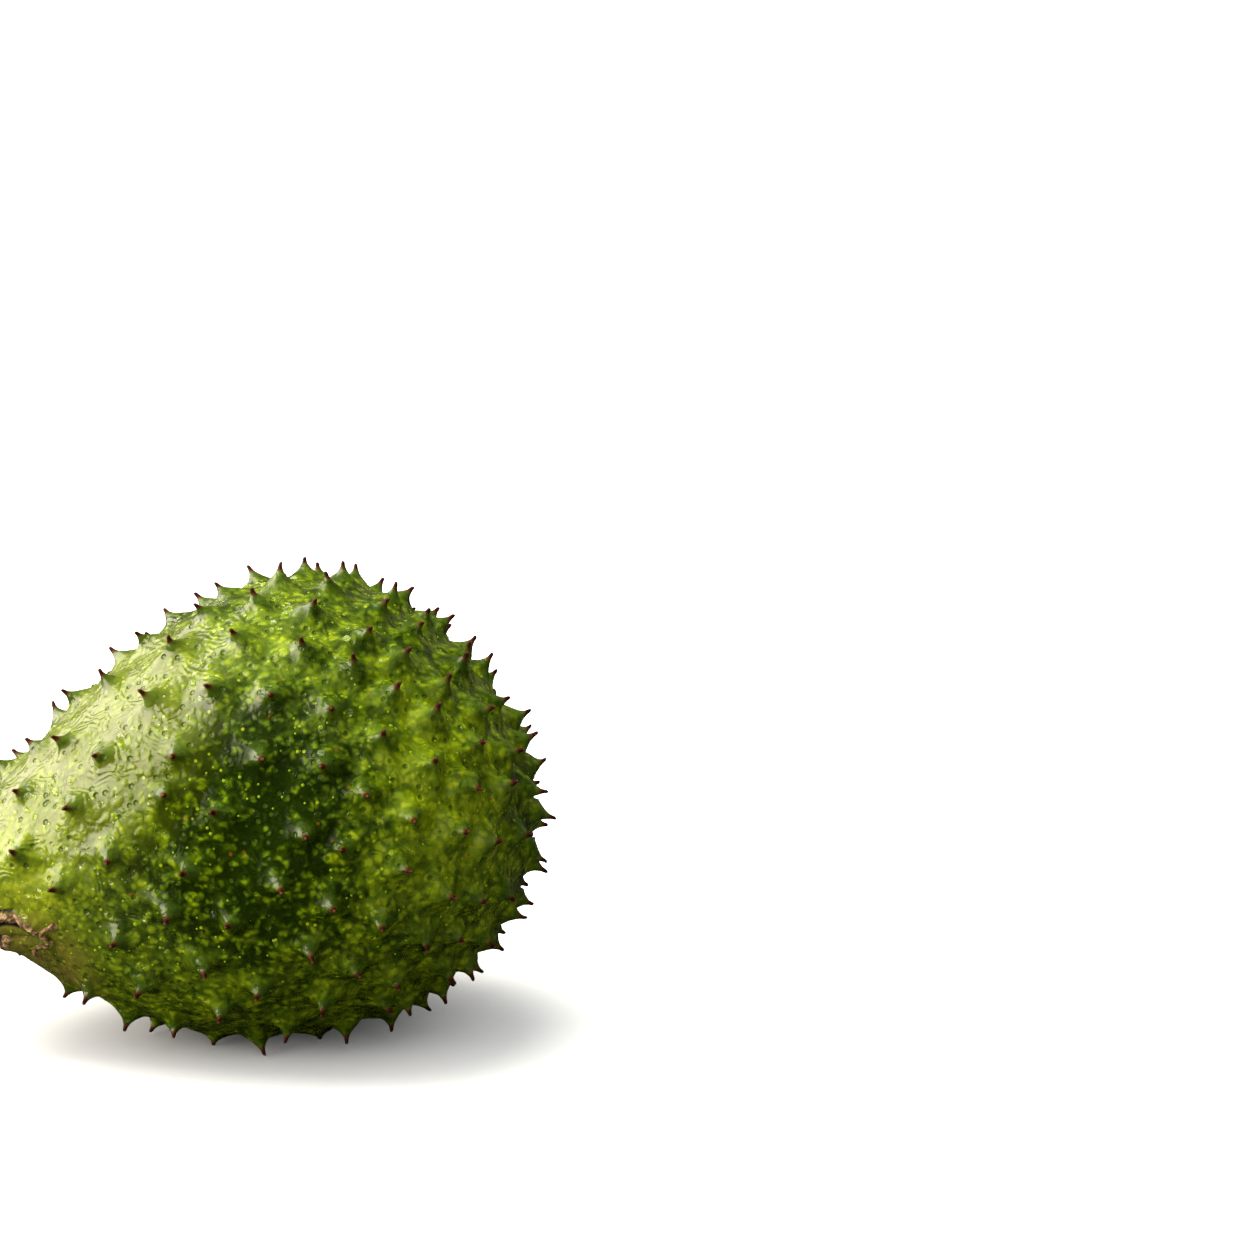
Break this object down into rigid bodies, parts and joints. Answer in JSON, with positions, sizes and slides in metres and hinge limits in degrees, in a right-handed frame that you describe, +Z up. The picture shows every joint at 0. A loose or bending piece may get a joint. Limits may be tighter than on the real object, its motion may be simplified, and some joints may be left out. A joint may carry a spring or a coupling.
{
  "type": "soursop",
  "caption": "Whole soursop lying on its belly: lopsided egg-shaped green fruit covered in short soft curved spines, with a woody stalk stub in the sunken stem end",
  "frame": {"origin": "middle of the flat spot that the fruit rests on, on the surface it lies on", "axes": "+X runs along the fruit from the stem end to the blossom end, +Z is up, +Y completes a right-handed frame"},
  "size_m": [0.2027, 0.1657, 0.1578],
  "materials": {
    "rind": "satin",
    "stalk_wood": "matte"
  },
  "bodies": {
    "root": {"fruit": "rind", "stalk": "stalk_wood"}
  },
  "joints": []
}
